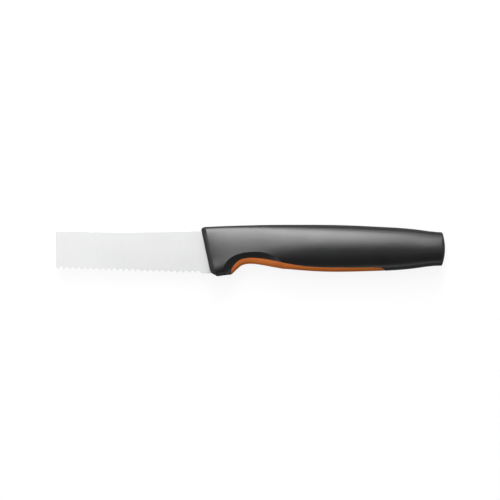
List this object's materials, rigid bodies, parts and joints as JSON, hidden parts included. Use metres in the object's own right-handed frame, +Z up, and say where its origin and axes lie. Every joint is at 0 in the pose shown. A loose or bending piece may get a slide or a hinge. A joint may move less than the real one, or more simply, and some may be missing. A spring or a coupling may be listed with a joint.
{
  "type": "tomato knife",
  "caption": "Small kitchen knife with a scalloped, square-ended steel blade and a black moulded grip with a slanted front, a finger notch and an orange band along its underside.",
  "frame": {"origin": "middle of the knife's length and of its depth, on the surface that it lies on", "axes": "the knife lies on its side: +X from the end of the blade to the butt of the handle, +Y from the cutting edge to the spine, +Z up through the thickness"},
  "size_m": [0.1888, 0.025, 0.0174],
  "materials": {
    "blade_steel": "satin ground steel with a fine even grain",
    "core_plastic": "smooth moulded orange plastic, low gloss",
    "grip_plastic": "black soft-touch plastic with a fine moulded texture"
  },
  "bodies": {
    "root": {"blade": "blade_steel", "handle_core": "core_plastic", "handle_shell": "grip_plastic"}
  },
  "joints": []
}
